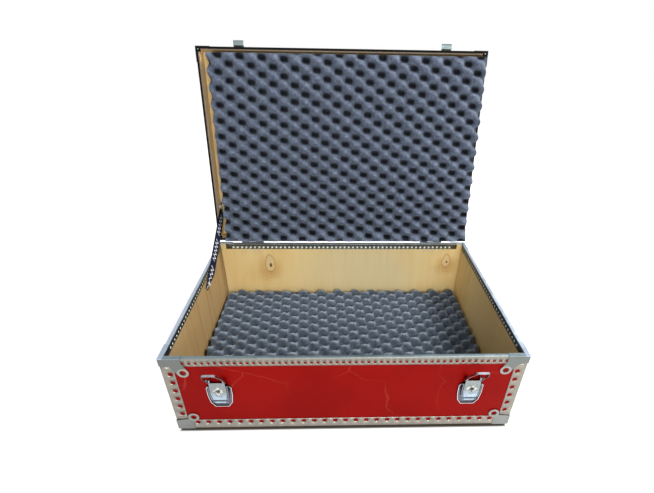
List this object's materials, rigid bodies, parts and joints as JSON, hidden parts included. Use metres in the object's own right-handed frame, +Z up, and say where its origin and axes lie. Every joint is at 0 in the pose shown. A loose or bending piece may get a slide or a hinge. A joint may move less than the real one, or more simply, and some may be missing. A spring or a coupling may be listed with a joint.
{
  "type": "tool case",
  "caption": "Red laminated plywood tool case with perforated steel edging, pressed corners, draw latches, foam lining and a hinged lid, shown open.",
  "frame": {"origin": "on the floor under the middle of the base, where the four pressed feet stand", "axes": "X along the case from the strap side to the other end, -Y towards the latches, +Z up"},
  "size_m": [0.728, 0.648, 0.6881],
  "materials": {
    "plywood": "satin birch plywood, clear lacquer",
    "laminate": "dark red phenolic laminate, satin",
    "corner_steel": "zinc plated pressed steel, satin",
    "edging_steel": "zinc plated perforated steel, satin",
    "bright_zinc": "bright zinc plating",
    "foam": "soft grey polyurethane foam",
    "seal_rubber": "black rubber sealing strip",
    "webbing": "black woven webbing",
    "grip_plastic": "black moulded plastic"
  },
  "bodies": {
    "base": {"base_bottom_laminate": "laminate", "base_end_laminates": "laminate", "base_fasteners": "bright_zinc", "base_floor_panel": "plywood", "base_front_laminate": "laminate", "base_front_panel": "plywood", "base_left_panel": "plywood", "base_rear_laminate": "laminate", "base_rear_panel": "plywood", "base_right_panel": "plywood", "end_bottom_edgings": "edging_steel", "floor_foam": "foam", "front_bottom_edging": "edging_steel", "front_left_foot_corner": "corner_steel", "front_left_rim_corner": "corner_steel", "front_right_foot_corner": "corner_steel", "front_right_rim_corner": "corner_steel", "front_rim_channel": "edging_steel", "hinge_pins": "bright_zinc", "left_handle_plate": "bright_zinc", "left_hinge_base_leaf": "bright_zinc", "left_latch_plate": "bright_zinc", "left_rim_channel": "edging_steel", "rear_bottom_edging": "edging_steel", "rear_left_foot_corner": "corner_steel", "rear_left_rim_corner": "corner_steel", "rear_right_foot_corner": "corner_steel", "rear_right_rim_corner": "corner_steel", "rear_rim_channel": "edging_steel", "right_handle_plate": "bright_zinc", "right_hinge_base_leaf": "bright_zinc", "right_latch_plate": "bright_zinc", "right_rim_channel": "edging_steel", "stay_strap": "webbing", "upright_edgings": "edging_steel"},
    "lid": {"lid_end_panels": "plywood", "lid_fasteners": "bright_zinc", "lid_foam": "foam", "lid_front_corners": "corner_steel", "lid_front_panel": "plywood", "lid_laminates": "laminate", "lid_rear_corners": "corner_steel", "lid_rear_panel": "plywood", "lid_rim_angles": "edging_steel", "lid_seal": "seal_rubber", "lid_top_edgings": "edging_steel", "lid_top_panel": "plywood", "left_keeper": "bright_zinc", "right_keeper": "bright_zinc", "left_hinge_lid_leaf": "bright_zinc", "right_hinge_lid_leaf": "bright_zinc"},
    "left_lever": {"left_latch_lever": "bright_zinc"},
    "right_lever": {"right_latch_lever": "bright_zinc"},
    "left_link": {"left_latch_link": "bright_zinc"},
    "right_link": {"right_latch_link": "bright_zinc"},
    "left_handle": {"left_handle_bail": "bright_zinc", "left_handle_grip": "grip_plastic"},
    "right_handle": {"right_handle_bail": "bright_zinc", "right_handle_grip": "grip_plastic"}
  },
  "joints": [
    {"name": "lid_hinge", "type": "hinge", "parent": "base", "child": "lid", "pos_m": [0, 0.2404, 0.206], "axis": [1, 0, 0], "range_deg": [0, 100], "deforming": ["stay_strap"]},
    {"name": "left_lever_hinge", "type": "hinge", "parent": "base", "child": "left_lever", "pos_m": [-0.248, -0.2422, 0.1534], "axis": [-1, 0, 0], "range_deg": [0, 110]},
    {"name": "left_link_hinge", "type": "hinge", "parent": "left_lever", "child": "left_link", "pos_m": [-0.248, -0.2404, 0.1464], "axis": [-1, 0, 0], "range_deg": [-88, 0]},
    {"name": "right_lever_hinge", "type": "hinge", "parent": "base", "child": "right_lever", "pos_m": [0.248, -0.2422, 0.1534], "axis": [-1, 0, 0], "range_deg": [0, 110]},
    {"name": "right_link_hinge", "type": "hinge", "parent": "right_lever", "child": "right_link", "pos_m": [0.248, -0.2404, 0.1464], "axis": [-1, 0, 0], "range_deg": [-88, 0]},
    {"name": "left_handle_hinge", "type": "hinge", "parent": "base", "child": "left_handle", "pos_m": [-0.357, 0, 0.1339], "axis": [0, 1, 0], "range_deg": [0, 90]},
    {"name": "right_handle_hinge", "type": "hinge", "parent": "base", "child": "right_handle", "pos_m": [0.357, 0, 0.1339], "axis": [0, -1, 0], "range_deg": [0, 90]}
  ],
  "couplings": [
    {"joint": "left_link_hinge", "follows": "left_lever_hinge", "ratio": -0.8},
    {"joint": "right_link_hinge", "follows": "right_lever_hinge", "ratio": -0.8}
  ]
}
